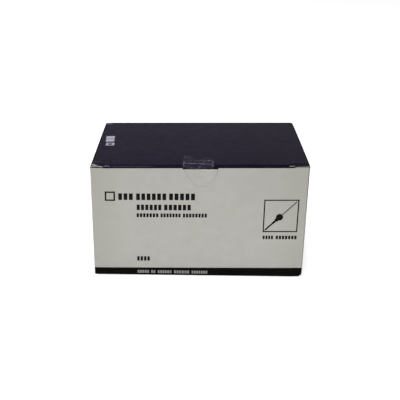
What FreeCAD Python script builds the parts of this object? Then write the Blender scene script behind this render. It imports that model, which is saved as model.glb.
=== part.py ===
import FreeCAD, Part
import os
import Sketcher
from FreeCAD import Placement, Rotation, Vector

# A closed folding carton of white paperboard, with a strip of clear tape over its lid.
# Millimetres, Z up. The origin is the middle of the underside, X runs along the width,
# and the front panel, which has the thumb tab, looks towards -Y.
# The board is one folded sheet round its contents, shut all over, so it is one solid.

SIZES = {
    # Outside of the folded board
    "carton_width": 165.0,
    "carton_depth": 111.0,
    "carton_height": 93.0,
    "board": 0.6,
    "crease_radius": 0.9,
    # Raw side edges of the lid and of the outer bottom flap stand back from the side folds
    "side_clearance": 0.2,
    # Glued corner: the side panel's raw edge stops short of the back panel
    "seam_setback": 0.8,
    # Outer bottom flap leaves a strip of the inner one bare along the back
    "bottom_strip": 26.0,
    # Lid's tuck flap, behind the front panel
    "tuck_radius": 1.5,
    "tuck_gap": 0.4,
    "tuck_slot_depth": 5.0,
    # Front panel's raw top edge, lower than the lid except at its right end
    "panel_drop": 1.3,
    "edge_gap": 0.1,
    # Gap under the left dust flap, seen over the panel's edge
    "dust_gap_depth": 5.0,
    # Slits that lock the lid: past them its raw edge lies over the front panel
    "slit_length": 15.0,
    "arch_width": 5.0,
    "arch_rise": 0.5,
    "arch_run": 9.0,
    "eye_depth": 2.5,
    # Front left corner of the lid, sprung up a little
    "lift_height": 1.2,
    "lift_run": 11.0,
    "lift_margin": 1.0,
    # Thumb tab: a perforated rounded V in the front panel
    "tab_width": 26.8,
    "tab_depth": 16.0,
    "tab_radius": 5.0,
    "tab_drop": 1.0,
    "tab_slant": 1.5,
    "perforation": 0.15,
    "nick": 0.7,
    "nick_pitch": 3.2,
    "nick_count": 4,
    # Knocked corner, at the bottom right of the front
    "crush": 2.7,
    # Clear tape over the middle of the front edge
    "tape_width": 24.0,
    "tape_shift": -1.1,
    "tape_thickness": 0.06,
    "tape_on_lid": 22.0,
    "tape_on_front": 22.0,
    "tear_depth": 10.0,
}

# Places that several features share, as expressions of the sizes
HALF_WIDTH = "sizes.carton_width / 2"
HALF_DEPTH = "sizes.carton_depth / 2"
SHOULDER = "(sizes.carton_height - sizes.board)"
FLAP_INSET = "(max(sizes.crease_radius; 2 * sizes.board) + sizes.side_clearance)"
FLAP_SIDE = f"({HALF_WIDTH} - {FLAP_INSET})"
SLIT_END = f"({HALF_WIDTH} - sizes.slit_length)"
ARCH_START = f"({SLIT_END} + sizes.arch_width)"
LIFT_START = f"({ARCH_START} + sizes.lift_margin)"
PANEL_BACK = f"(-{HALF_DEPTH} + sizes.board)"
TUCK_FACE = f"({PANEL_BACK} + sizes.tuck_gap)"
PANEL_TOP = f"({SHOULDER} - sizes.panel_drop)"
HIGH_TOP = f"({SHOULDER} - sizes.edge_gap)"
TAB_TOP = f"({PANEL_TOP} - sizes.tab_drop)"
HALF_TAB = "sizes.tab_width / 2"
TAPE_BEND = f"min(sizes.carton_height - {TAB_TOP}; sizes.board + sizes.tuck_gap + sizes.tuck_radius)"
NEAR = 0.001


def fill_sheet(doc):
    """The driving dimensions, one row each, with the name as its alias."""
    sheet = doc.addObject("Spreadsheet::Sheet", "sizes")
    for row, (name, value) in enumerate(SIZES.items(), start=1):
        sheet.set(f"A{row}", name)
        sheet.set(f"B{row}", str(value))
        sheet.setAlias(f"B{row}", name)
    doc.recompute()
    return sheet


def new_body(doc, label):
    """An empty body, placed on the part's own origin."""
    body = doc.addObject("PartDesign::Body", label)
    body.Label = label
    body.Placement = Placement(Vector(0, 0, 0), Rotation())
    return body


def new_sketch(body, name, role, offset="0"):
    """An empty sketch on one of the body's origin planes, moved along its normal by offset."""
    plane = next(f for f in body.Origin.OriginFeatures if f.Role == role)
    sketch = body.newObject("Sketcher::SketchObject", name)
    sketch.AttachmentSupport = [(plane, "")]
    sketch.MapMode = "FlatFace"
    sketch.setExpression(".AttachmentOffset.Base.z", offset)
    return sketch


def plan(body, name, level):
    """A sketch seen from above: X and Y, at a height."""
    return new_sketch(body, name, "XY_Plane", level)


def front_view(body, name):
    """A sketch on the front panel's face: X and Z. Its normal points out of the carton."""
    return new_sketch(body, name, "XZ_Plane", HALF_DEPTH)


def side_view(body, name, place="0"):
    """A sketch seen from the side: Y and Z, at a place along X."""
    return new_sketch(body, name, "YZ_Plane", place)


def bind(sketch, kind, *numbers, to):
    """Adds a constraint whose value is an expression."""
    index = sketch.addConstraint(Sketcher.Constraint(kind, *numbers, sketch.evalExpression(to)))
    sketch.setExpression(f"Constraints[{index}]", to)


def fix_point(sketch, line, end, x, y):
    """Ties one end of a line to a place in the sketch."""
    bind(sketch, "DistanceX", -1, 1, line, end, to=x)
    bind(sketch, "DistanceY", -1, 1, line, end, to=y)


def draw_outline(sketch, points):
    """A closed outline of straight sides through points given as pairs of expressions."""
    places = [Vector(sketch.evalExpression(x), sketch.evalExpression(y), 0) for x, y in points]
    lines = []
    for start, stop in zip(places, places[1:] + places[:1]):
        lines.append(sketch.addGeometry(Part.LineSegment(start, stop), False))
    for line, following in zip(lines, lines[1:] + lines[:1]):
        sketch.addConstraint(Sketcher.Constraint("Coincident", line, 2, following, 1))
    for line, (x, y) in zip(lines, points):
        fix_point(sketch, line, 1, x, y)
    return lines


def draw_box(sketch, x_low, x_high, y_low, y_high):
    """A rectangle between two corners."""
    draw_outline(sketch, [(x_low, y_low), (x_high, y_low), (x_high, y_high), (x_low, y_high)])


def draw_arched(sketch, x_low, x_high, y_low, y_side, rise):
    """A rectangle whose top is an arc that stands above its ends by rise."""
    left, right = sketch.evalExpression(x_low), sketch.evalExpression(x_high)
    foot, side = sketch.evalExpression(y_low), sketch.evalExpression(y_side)
    crown = side + sketch.evalExpression(rise)
    corners = [Vector(left, side, 0), Vector(left, foot, 0), Vector(right, foot, 0), Vector(right, side, 0)]
    lines = []
    for start, stop in zip(corners, corners[1:]):
        lines.append(sketch.addGeometry(Part.LineSegment(start, stop), False))
    arc = sketch.addGeometry(Part.Arc(corners[3], Vector((left + right) / 2, crown, 0), corners[0]), False)
    for line, following in zip(lines, lines[1:] + [arc]):
        sketch.addConstraint(Sketcher.Constraint("Coincident", line, 2, following, 1))
    sketch.addConstraint(Sketcher.Constraint("Coincident", arc, 2, lines[0], 1))
    fix_point(sketch, lines[0], 1, x_low, y_side)
    fix_point(sketch, lines[1], 1, x_low, y_low)
    fix_point(sketch, lines[2], 1, x_high, y_low)
    fix_point(sketch, arc, 1, x_high, y_side)
    span = f"abs({x_high} - ({x_low}))"
    bind(sketch, "Radius", arc, to=f"(({span}) ^ 2 / 4 + ({rise}) ^ 2) / (2 * ({rise}))")


def pad(body, name, sketch, length, inward=False, middle=False):
    """Adds the sketch's form, along its normal unless inward."""
    feature = body.newObject("PartDesign::Pad", name)
    feature.Profile = sketch
    feature.setExpression("Length", length)
    feature.Reversed = inward
    if middle:
        feature.SideType = "Symmetric"
    return feature


def pocket(body, name, sketch, length, middle=False):
    """Cuts the sketch's form against its normal, and makes sure that something was cut."""
    body.Document.recompute()
    before = body.Shape.Volume
    feature = body.newObject("PartDesign::Pocket", name)
    feature.Profile = sketch
    feature.setExpression("Length", length)
    if middle:
        feature.SideType = "Symmetric"
    body.Document.recompute()
    if body.Shape.Volume > before - NEAR:
        raise RuntimeError(f"{name} cuts nothing")
    return feature


def round_edges(body, name, radius, places):
    """Fillets each straight edge that lies at one of the places, given as axis names and values."""
    body.Document.recompute()
    base = body.Tip
    names = []
    for number, edge in enumerate(base.Shape.Edges, start=1):
        ends = [vertex.Point for vertex in edge.Vertexes]
        for place in places:
            if all(abs(getattr(end, axis) - value) < NEAR for end in ends for axis, value in place.items()):
                names.append(f"Edge{number}")
                break
    if len(names) < len(places):
        raise RuntimeError(f"{name} finds {len(names)} edges of {len(places)}")
    feature = body.newObject("PartDesign::Fillet", name)
    feature.Base = (base, names)
    feature.setExpression("Radius", radius)
    return feature


def round_fold(body, name, edge_y, edge_z, into_y, into_z, radius, length):
    """Turns a sharp outer edge along X into a fold, over a length about the middle.
    into_y and into_z say on which side of the edge the board lies."""
    sketch = side_view(body, f"{name}_section")
    flat_end = (f"{edge_y} + {into_y} * {radius}", edge_z)
    upright_end = (edge_y, f"{edge_z} + {into_z} * {radius}")
    corner, flat, upright = (
        Vector(sketch.evalExpression(y), sketch.evalExpression(z), 0)
        for y, z in ((edge_y, edge_z), flat_end, upright_end)
    )
    crown = corner + (flat + upright - corner * 2) * (1 - 0.5 ** 0.5)
    out = sketch.addGeometry(Part.LineSegment(corner, flat), False)
    arc = sketch.addGeometry(Part.Arc(flat, crown, upright), False)
    home = sketch.addGeometry(Part.LineSegment(upright, corner), False)
    near = 1 if sketch.getPoint(arc, 1).distanceToPoint(flat) < NEAR else 2
    sketch.addConstraint(Sketcher.Constraint("Coincident", out, 2, arc, near))
    sketch.addConstraint(Sketcher.Constraint("Coincident", arc, 3 - near, home, 1))
    sketch.addConstraint(Sketcher.Constraint("Coincident", home, 2, out, 1))
    fix_point(sketch, out, 1, edge_y, edge_z)
    fix_point(sketch, out, 2, *flat_end)
    fix_point(sketch, home, 1, *upright_end)
    bind(sketch, "Radius", arc, to=radius)
    return pocket(body, name, sketch, length, middle=True)


def add_walls(body):
    """The four panels, with their folds and the folds of the dust flaps and bottom flaps."""
    outline = plan(body, "walls_outline", "sizes.board")
    draw_box(outline, f"-{HALF_WIDTH}", HALF_WIDTH, f"-{HALF_DEPTH}", HALF_DEPTH)
    pad(body, "walls", outline, f"{SHOULDER} - sizes.board")

    notch = plan(body, "seam_outline", SHOULDER)
    draw_box(notch, f"{HALF_WIDTH} - sizes.board", HALF_WIDTH, f"{HALF_DEPTH} - sizes.seam_setback", HALF_DEPTH)
    pocket(body, "seam", notch, f"{SHOULDER} - sizes.board")

    side = body.evalExpression(HALF_WIDTH)
    depth = body.evalExpression(HALF_DEPTH)
    board = body.evalExpression("sizes.board")
    top = body.evalExpression(SHOULDER)
    round_edges(
        body,
        "wall_folds",
        "sizes.crease_radius",
        [{"x": -side, "y": -depth}, {"x": side, "y": -depth}, {"x": -side, "y": depth}]
        + [{"x": side, "z": top}, {"x": -side, "z": top}, {"x": side, "z": board}, {"x": -side, "z": board}],
    )
    round_edges(body, "seam_fold", "sizes.board", [{"x": side - board, "y": depth}])


def add_bottom_flap(body):
    """The outer bottom flap, folded from the front panel and glued flat over the inner ones."""
    outline = plan(body, "bottom_flap_outline", "0")
    draw_box(outline, f"-{FLAP_SIDE}", FLAP_SIDE, f"-{HALF_DEPTH}", f"{HALF_DEPTH} - sizes.bottom_strip")
    pad(body, "bottom_flap", outline, "sizes.board")
    round_fold(body, "front_bottom_fold", f"-{HALF_DEPTH}", "0", 1, 1, "sizes.crease_radius", f"2 * {FLAP_SIDE}")


def add_lid(body):
    """The lid panel. Between the slits it ends at the tuck fold, and past them at its raw edge."""
    outline = plan(body, "lid_outline", SHOULDER)
    lifted = f"(-{HALF_DEPTH} + sizes.lift_run)"
    draw_outline(
        outline,
        [
            (f"-{FLAP_SIDE}", HALF_DEPTH),
            (f"-{FLAP_SIDE}", lifted),
            (f"-{LIFT_START}", lifted),
            (f"-{LIFT_START}", f"-{HALF_DEPTH}"),
            (f"-{SLIT_END}", f"-{HALF_DEPTH}"),
            (f"-{SLIT_END}", TUCK_FACE),
            (SLIT_END, TUCK_FACE),
            (SLIT_END, f"-{HALF_DEPTH}"),
            (FLAP_SIDE, f"-{HALF_DEPTH}"),
            (FLAP_SIDE, HALF_DEPTH),
        ],
    )
    pad(body, "lid", outline, "sizes.board")
    round_fold(body, "hinge_fold", HALF_DEPTH, "sizes.carton_height", -1, -1, "sizes.crease_radius", f"2 * {FLAP_SIDE}")


def add_lifted_corner(body):
    """The lid's front left corner, bent up towards the side edge, just clear of the dust flap."""
    sections = []
    for name, place, height in (
        ("lifted_end", f"-{FLAP_SIDE}", "sizes.lift_height"),
        ("flat_end", f"-{LIFT_START}", "0"),
    ):
        section = side_view(body, name, place)
        draw_outline(
            section,
            [
                (f"-{HALF_DEPTH}", f"{SHOULDER} + sizes.edge_gap + {height}"),
                (f"-{HALF_DEPTH}", f"sizes.carton_height + {height}"),
                (f"-{HALF_DEPTH} + sizes.lift_run", "sizes.carton_height"),
                (f"-{HALF_DEPTH} + sizes.lift_run", f"{SHOULDER} + sizes.edge_gap"),
            ],
        )
        sections.append(section)
    loft = body.newObject("PartDesign::AdditiveLoft", "lifted_corner")
    loft.Profile = sections[0]
    loft.Sections = [sections[1]]
    loft.Ruled = True


def cut_closure(body):
    """The gap in which the tuck flap sits, and the front panel's own raw top edge."""
    slot = plan(body, "tuck_slot_outline", SHOULDER)
    draw_box(slot, f"-{SLIT_END}", SLIT_END, PANEL_BACK, TUCK_FACE)
    pocket(body, "tuck_slot", slot, "sizes.tuck_slot_depth")

    edge = front_view(body, "panel_edge_outline")
    draw_outline(
        edge,
        [
            (f"-{HALF_WIDTH}", SHOULDER),
            (f"-{HALF_WIDTH}", PANEL_TOP),
            (f"-{HALF_TAB}", PANEL_TOP),
            (f"-{HALF_TAB}", TAB_TOP),
            (HALF_TAB, TAB_TOP),
            (f"{HALF_TAB} + sizes.tab_slant", PANEL_TOP),
            (ARCH_START, PANEL_TOP),
            (ARCH_START, HIGH_TOP),
            (HALF_WIDTH, HIGH_TOP),
            (HALF_WIDTH, SHOULDER),
        ],
    )
    pocket(body, "panel_edge", edge, "sizes.board + sizes.tuck_gap / 2")
    round_fold(body, "tuck_fold", TUCK_FACE, "sizes.carton_height", 1, -1, "sizes.tuck_radius", f"2 * {SLIT_END}")

    gap = front_view(body, "dust_gap_outline")
    draw_box(gap, f"-{HALF_WIDTH} + sizes.board", f"-{ARCH_START}", PANEL_TOP, f"{SHOULDER} - sizes.board")
    pocket(body, "dust_gap", gap, "sizes.dust_gap_depth")


def add_arch(body, name, side):
    """The end of a slit, where the lid's edge stands up in an arch over a dark eye.
    side is the sign of X."""
    low, high = (SLIT_END, ARCH_START) if side > 0 else (f"-{ARCH_START}", f"-{SLIT_END}")
    front = front_view(body, f"{name}_front")
    draw_arched(front, low, high, SHOULDER, "sizes.carton_height", "sizes.arch_rise")
    back = new_sketch(body, f"{name}_back", "XZ_Plane", f"{HALF_DEPTH} - sizes.arch_run")
    draw_arched(back, low, high, SHOULDER, "sizes.carton_height", "sizes.arch_rise / 50")
    loft = body.newObject("PartDesign::AdditiveLoft", name)
    loft.Profile = front
    loft.Sections = [back]
    loft.Ruled = True

    eye = front_view(body, f"{name}_eye_outline")
    draw_arched(eye, low, high, PANEL_TOP, SHOULDER, "sizes.arch_rise")
    pocket(body, f"{name}_eye", eye, "sizes.eye_depth")


def cut_thumb_tab(body):
    """The perforated rounded V: a cut through the board, held by nicks of whole board."""
    ring = front_view(body, "tab_outline")
    centre = Vector(0, ring.evalExpression(f"{TAB_TOP} - sizes.tab_depth + sizes.tab_radius"), 0)
    top = ring.evalExpression(PANEL_TOP)
    rims = []
    for radius, reach in (
        ("sizes.tab_radius", HALF_TAB),
        ("sizes.tab_radius - sizes.perforation", f"{HALF_TAB} - sizes.perforation"),
    ):
        bend = ring.evalExpression(radius)
        out = ring.evalExpression(reach)
        left = centre + Vector(-bend * 0.8, -bend * 0.6, 0)
        right = centre + Vector(bend * 0.8, -bend * 0.6, 0)
        arc = ring.addGeometry(Part.Arc(left, centre + Vector(0, -bend, 0), right), False)
        fall = ring.addGeometry(Part.LineSegment(Vector(-out, top, 0), left), False)
        climb = ring.addGeometry(Part.LineSegment(right, Vector(out, top, 0)), False)
        ring.addConstraint(Sketcher.Constraint("Tangent", fall, 2, arc, 1))
        ring.addConstraint(Sketcher.Constraint("Tangent", arc, 2, climb, 1))
        fix_point(ring, arc, 3, "0", f"{TAB_TOP} - sizes.tab_depth + sizes.tab_radius")
        bind(ring, "Radius", arc, to=radius)
        bind(ring, "DistanceY", -1, 1, fall, 1, to=PANEL_TOP)
        bind(ring, "DistanceY", -1, 1, climb, 2, to=PANEL_TOP)
        rims.append((fall, climb))
    (fall, climb), (inner_fall, inner_climb) = rims
    bind(ring, "DistanceX", -1, 1, fall, 1, to=f"-{HALF_TAB}")
    bind(ring, "DistanceX", -1, 1, climb, 2, to=HALF_TAB)
    ring.addConstraint(Sketcher.Constraint("Parallel", fall, inner_fall))
    ring.addConstraint(Sketcher.Constraint("Parallel", climb, inner_climb))
    for outer, inner, end in ((fall, inner_fall, 1), (climb, inner_climb, 2)):
        ends = [ring.getPoint(line, end) for line in (outer, inner)]
        bridge = ring.addGeometry(Part.LineSegment(*ends), False)
        ring.addConstraint(Sketcher.Constraint("Coincident", outer, end, bridge, 1))
        ring.addConstraint(Sketcher.Constraint("Coincident", inner, end, bridge, 2))
    pocket(body, "tab_cut", ring, "sizes.board")

    bar = front_view(body, "nick_outline")
    nick_top = f"({TAB_TOP} - sizes.nick_pitch)"
    draw_box(bar, f"-{HALF_TAB}", HALF_TAB, f"{nick_top} - sizes.nick", nick_top)
    nick = pad(body, "nicks", bar, "sizes.board", inward=True)
    rows = body.newObject("PartDesign::LinearPattern", "nick_rows")
    rows.Originals = [nick]
    rows.Direction = (bar, ["V_Axis"])
    rows.Reversed = True
    rows.setExpression("Length", "sizes.nick_pitch * (sizes.nick_count - 1)")
    rows.setExpression("Occurrences", "sizes.nick_count")
    body.Tip = rows


def crush_corner(body):
    """The bottom right corner of the front, blunted by a knock."""
    block = body.newObject("PartDesign::SubtractiveBox", "crushed_corner")
    for side in ("Length", "Width", "Height"):
        block.setExpression(side, "4 * sizes.crush")
    turn = Rotation(Vector(0, 0, 1), Vector(1, -1, -1))
    block.Placement = Placement(Vector(0, 0, 0), turn)
    # The block's first face is centred on the plane that crosses the three edges at crush
    back = turn.multVec(Vector(-2, -2, 0))
    for axis, corner, sign in (("x", HALF_WIDTH, -1), ("y", f"-{HALF_DEPTH}", 1), ("z", "0", 1)):
        shift = sign / 3 + getattr(back, axis)
        block.setExpression(f".Placement.Base.{axis}", f"{corner} + {shift} * sizes.crush")
    return block


def make_carton(doc):
    """The whole folded board, lid tucked in and bottom glued."""
    body = new_body(doc, "carton")
    add_walls(body)
    add_bottom_flap(body)
    add_lid(body)
    add_lifted_corner(body)
    cut_closure(body)
    add_arch(body, "left_arch", -1)
    add_arch(body, "right_arch", 1)
    cut_thumb_tab(body)
    crush_corner(body)
    return body


def make_tape(doc):
    """The clear strip that shuts the lid: flat on the lid, bent over the edge, flat on the front."""
    body = new_body(doc, "seal_tape")
    film = "sizes.tape_thickness"
    section = side_view(body, "tape_section", "sizes.tape_shift")
    draw_outline(
        section,
        [
            (f"-{HALF_DEPTH}", "sizes.carton_height"),
            (f"-{HALF_DEPTH} + sizes.tape_on_lid", "sizes.carton_height"),
            (f"-{HALF_DEPTH} + sizes.tape_on_lid", f"sizes.carton_height + {film}"),
            (f"-{HALF_DEPTH} - {film}", f"sizes.carton_height + {film}"),
            (f"-{HALF_DEPTH} - {film}", "sizes.carton_height - sizes.tape_on_front"),
            (f"-{HALF_DEPTH}", "sizes.carton_height - sizes.tape_on_front"),
        ],
    )
    pad(body, "strip", section, "sizes.tape_width", middle=True)
    depth = body.evalExpression(HALF_DEPTH)
    top = body.evalExpression("sizes.carton_height")
    thickness = body.evalExpression(film)
    round_edges(body, "inner_bend", TAPE_BEND, [{"y": -depth, "z": top}])
    round_edges(
        body,
        "outer_bend",
        f"{TAPE_BEND} + {film}",
        [{"y": -depth - thickness, "z": top + thickness}],
    )

    tear = plan(body, "tear_outline", f"sizes.carton_height + {film}")
    left = "(sizes.tape_shift - sizes.tape_width / 2)"
    back = f"(-{HALF_DEPTH} + sizes.tape_on_lid)"
    draw_outline(
        tear,
        [
            (f"{left} - 1", f"{back} + 1"),
            (f"{left} - 1", f"{back} - sizes.tear_depth * 0.1"),
            (f"{left} + sizes.tape_width * 0.25", f"{back} - sizes.tear_depth * 0.3"),
            (f"{left} + sizes.tape_width * 0.5", f"{back} - sizes.tear_depth"),
            (f"{left} + sizes.tape_width * 0.68", f"{back} - sizes.tear_depth * 0.6"),
            (f"{left} + sizes.tape_width + 1", f"{back} - sizes.tear_depth * 0.75"),
            (f"{left} + sizes.tape_width + 1", f"{back} + 1"),
        ],
    )
    pocket(body, "tear", tear, film)
    return body


def export(doc, bodies):
    """Tests every object, then writes each piece to its own file."""
    doc.recompute()
    for item in doc.Objects:
        if "Invalid" in item.State or "Error" in item.State:
            raise RuntimeError(f"{item.Name} failed: {item.State}")
    os.makedirs("parts", exist_ok=True)
    for body in bodies:
        shape = body.Shape
        if shape.isNull() or not shape.isValid() or len(shape.Solids) != 1:
            raise RuntimeError(f"{body.Label} is no single valid solid")
    for body in bodies:
        body.Shape.exportStep(f"parts/{body.Label}.step")
        box = body.Shape.BoundBox
        print(f"{body.Label}: {box.XLength:.2f} x {box.YLength:.2f} x {box.ZLength:.2f} mm,"
              f" {body.Shape.Volume:.1f} mm3, {len(body.Shape.Faces)} faces")


def main():
    doc = FreeCAD.newDocument("carton")
    fill_sheet(doc)
    export(doc, [make_carton(doc), make_tape(doc)])


main()
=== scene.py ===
# A closed folding carton of printed paperboard, its lid held by a strip of clear tape,
# on a pale floor in soft light.
# Metres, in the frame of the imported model: the origin is the middle of the underside,
# X runs along the width and the front panel looks towards -Y.
import math

import bmesh
import bpy
from mathutils import Matrix, Vector, noise


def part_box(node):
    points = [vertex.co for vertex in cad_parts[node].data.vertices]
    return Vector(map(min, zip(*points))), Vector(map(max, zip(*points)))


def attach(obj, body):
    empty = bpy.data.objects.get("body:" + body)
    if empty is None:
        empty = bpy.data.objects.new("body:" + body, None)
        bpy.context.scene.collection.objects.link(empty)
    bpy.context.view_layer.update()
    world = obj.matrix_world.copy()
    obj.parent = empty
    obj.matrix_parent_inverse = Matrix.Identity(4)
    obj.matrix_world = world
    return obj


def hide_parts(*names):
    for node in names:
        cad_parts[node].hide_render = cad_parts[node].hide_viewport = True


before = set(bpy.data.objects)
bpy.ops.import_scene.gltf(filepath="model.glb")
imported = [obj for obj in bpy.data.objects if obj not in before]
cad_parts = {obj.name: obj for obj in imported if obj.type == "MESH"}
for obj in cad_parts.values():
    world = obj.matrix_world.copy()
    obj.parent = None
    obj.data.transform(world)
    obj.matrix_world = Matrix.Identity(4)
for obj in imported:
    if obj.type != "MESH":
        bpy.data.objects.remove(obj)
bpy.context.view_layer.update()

MM = 0.001
X, Y, Z = range(3)

# Sizes that the frame gives. The strip of tape is a little narrower than its solid
FILM = 0.06 * MM
TAPE_TRIM = 1.2 * MM
HALF_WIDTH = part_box("carton")[1].x
HALF_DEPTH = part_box("carton")[1].y
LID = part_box("seal_tape")[1].z - FILM
TAPE_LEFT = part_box("seal_tape")[0].x
TAPE_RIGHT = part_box("seal_tape")[1].x - TAPE_TRIM
TAPE_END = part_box("seal_tape")[0].z

# The folded board
BOARD = 0.6 * MM
FLAP_SIDE = HALF_WIDTH - 1.4 * MM
SLIT_END = HALF_WIDTH - 15 * MM
ARCH_START = SLIT_END + 5 * MM
BOTTOM_STRIP = 26 * MM
SEAM_SETBACK = 0.8 * MM
TAB_REACH = 14.5 * MM
TAB_DEPTH = 20 * MM
PANEL_STEP = 1.1 * MM
TUCK_DEPTH = 4 * MM
GAP_DEPTH = 6 * MM
PANEL_BACK = -HALF_DEPTH + BOARD
RECESS_BACK = PANEL_BACK + 0.25 * MM
UNDER_LID = LID - BOARD
PANEL_EDGE = UNDER_LID - 1.3 * MM
# Lengths too small to matter, where places are compared
SLACK = 0.05 * MM
TOUCH = 0.01 * MM

# Fields of print. The band is taller towards the right
LID_INK_LINE = LID - 1.5 * MM
BAND_TOP = 7.25 * MM
BAND_RISE = 0.78 * MM

# Cuts that let the board bend: a grid over every panel, and finer cuts round the closure
# and round the knocked corner
GRID = 3 * MM
FOLD_MARGIN = 1.6 * MM
IN_BAND = 4 * MM
OVER_BAND = 9 * MM
CLOSURE_WIDTH = (SLIT_END - MM, HALF_WIDTH - 3 * MM, 0.9 * MM)
CLOSURE_DEPTH = (-HALF_DEPTH + 1.5 * MM, -HALF_DEPTH + 7 * MM, 1.1 * MM)
KNOCK_CUTS = 12
JOIN_REACH = 1e-6
CUT_REACH = 1e-7
FLAT_ANGLE = math.radians(0.3)
SHARP_ANGLE = math.radians(28)

# Shape that a full, handled carton has. Its right end stands taller than its left end
LEAN = 1.41 * MM
FRONT_BOW = 0.6 * MM
SIDE_BOW = 0.6 * MM
LID_BOW = 0.5 * MM
BOW_POWER = 9
UNEVEN = 0.12 * MM
UNEVEN_SIZE = 30 * MM
UNEVEN_SEEDS = (3, 11, 23)
# How far the side panels stand in from their ideal planes, and how far the lid's right
# fold stands out over them
RIGHT_FRONT_IN = 0.32 * MM
RIGHT_LID_OUT = 0.25 * MM
LID_FOLD = 3 * MM
LID_FOLD_POWER = 6
LEFT_FOOT_IN = 0.45 * MM
LEFT_LID_IN = -0.15 * MM
SIDE_POWER = 3

# The knocked corner, and the shares of its depth that are even, in creases and in dents
KNOCK_CORNER = Vector((HALF_WIDTH, -HALF_DEPTH, 0))
KNOCK_DIRECTION = Vector((-1, 1, 0.8)).normalized()
KNOCK_REACH = 11 * MM
KNOCK_DEPTH = 1.1 * MM
KNOCK_CREASE = 2.2 * MM
KNOCK_EVEN = 0.45
KNOCK_CREASED = 0.75
KNOCK_DENTED = 0.3
KNOCK_SEEDS = (5, 9)

# How far the lid's front edge hangs, at places along X, where the slits have freed it, in
# millimetres
HANGING = (
    (-81.2, 0.05), (-79.2, 0.3), (-77.0, 0.5), (-74.0, 0.65),
    (-72.4, 0.65), (-70.2, 0.3), (-67.5, 0.5), (-66.5, 0.0),
    (66.5, 0.0), (67.5, 0.6), (70.0, 0.85), (72.5, 0.65), (79.0, 0.5), (82.5, 0.35),
)
HANGING_RUN = 5.5 * MM
# How much further in the right slit ends than the left one. The shift fades out over a
# run, and has gone at this many runs from the slit's end
SLIT_SHIFT = 1.3 * MM
SLIT_SHIFT_RUN = 9 * MM
SLIT_SHIFT_ASIDE = 1.3
SLIT_SHIFT_AWAY = 1.2
# Where the thumb tab's perforation leaves its ideal line: how far its right flank stands
# out, and how far its foot is raised, at depths below the top of the tab, in millimetres,
# and the shares of both at places along X
TAB_TOP = PANEL_EDGE - 1 * MM
TAB_BULGE = ((-1.0, -1.4), (0.0, 0.0), (1.0, 0.8), (4.0, 2.2), (14.0, 2.2), (26.0, 0.0))
TAB_BULGE_SHARE = ((-4.0, 0.0), (6.0, 1.0), (17.0, 1.0), (27.0, 0.0))
TAB_RAISE = ((7.0, 0.0), (11.0, 1.1), (14.0, 2.2), (17.0, 2.4), (29.0, 0.0))
TAB_RAISE_SHARE = ((-9.0, 0.0), (-1.0, 1.0), (9.0, 1.0), (20.0, 0.0))


def srgb(red, green, blue):
    """A colour written as 0 to 255, as the linear colour that a shader takes."""
    linear = []
    for part in (red, green, blue):
        share = part / 255
        linear.append(share / 12.92 if share <= 0.04045 else ((share + 0.055) / 1.055) ** 2.4)
    return (*linear, 1.0)


def limited(value, low=-1.0):
    """A number kept between a low end and 1."""
    return max(low, min(1.0, value))


def between(table, place):
    """The value at a place along a table of places and values, straight between its rows."""
    if place <= table[0][0]:
        return table[0][1]
    for (start, low), (stop, high) in zip(table, table[1:]):
        if place <= stop:
            return low + (high - low) * (place - start) / (stop - start)
    return table[-1][1]


def bumps(point, size, seed):
    """Smooth noise from -1 to 1, over bumps of about a size."""
    return noise.noise(point / size + Vector((seed, 2 * seed, 3 * seed)))


def spaced(low, high, step):
    """Places between two ends, a step or a little less apart."""
    count = math.ceil((high - low) / step)
    return [low + (high - low) * number / count for number in range(count + 1)]


# Shape of the board

def settled(point):
    """Where a point of the ideal carton lies once the carton is full: its panels bow a
    little and are slightly uneven, its height grows a little towards the right, and its
    sides aren't quite upright."""
    x = limited(point.x / HALF_WIDTH)
    y = limited(point.y / HALF_DEPTH)
    z = limited(2 * point.z / LID - 1)
    front = (1 - x * x) * (1 - z * z)
    side = (1 - y * y) * (1 - z * z)
    top = (1 - x * x) * (1 - y * y)
    sway = [UNEVEN * bumps(point, UNEVEN_SIZE, seed) for seed in UNEVEN_SEEDS]
    shift = Vector((
        (SIDE_BOW * side + sway[X] * math.sqrt(side)) * x ** BOW_POWER,
        (FRONT_BOW * front + sway[Y] * math.sqrt(front)) * y ** BOW_POWER,
        (LID_BOW * top + sway[Z] * math.sqrt(top)) * max(z, 0) ** BOW_POWER,
    ))
    moved = point + shift
    on_lid = limited(1 + (point.z - LID) / LID_FOLD, 0)
    right_in = RIGHT_FRONT_IN * (1 - y) / 2 * (1 - on_lid)
    right_in -= RIGHT_LID_OUT * (1 - y ** LID_FOLD_POWER) * on_lid
    left_in = LEFT_FOOT_IN + (LEFT_LID_IN - LEFT_FOOT_IN) * point.z / LID
    moved.x -= (right_in if x > 0 else left_in) * x ** SIDE_POWER
    moved.z *= 1 + LEAN / LID * x
    return moved


def hanging(point):
    """Lets the lid's raw front edge hang towards the panel near the ends of the slits."""
    drop = between(HANGING, point.x / MM) * MM
    near = 1 - limited((point.y + HALF_DEPTH) / HANGING_RUN, 0)
    high = limited((point.z - PANEL_EDGE) / (UNDER_LID - PANEL_EDGE), 0)
    return point - Vector((0, 0, drop * near * near * (3 - 2 * near) * high))


def slit_shifted(point):
    """Moves the end of the right slit towards the middle of the carton."""
    middle = (SLIT_END + ARCH_START) / 2
    beside = SLIT_SHIFT_ASIDE - abs(point.x - middle) / SLIT_SHIFT_RUN
    behind = SLIT_SHIFT_AWAY - (point.y + HALF_DEPTH) / HANGING_RUN
    below = SLIT_SHIFT_AWAY - (PANEL_EDGE - point.z) / HANGING_RUN
    share = limited(beside, 0) * limited(behind, 0) * limited(below, 0)
    return point - Vector((SLIT_SHIFT * share, 0, 0))


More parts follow.
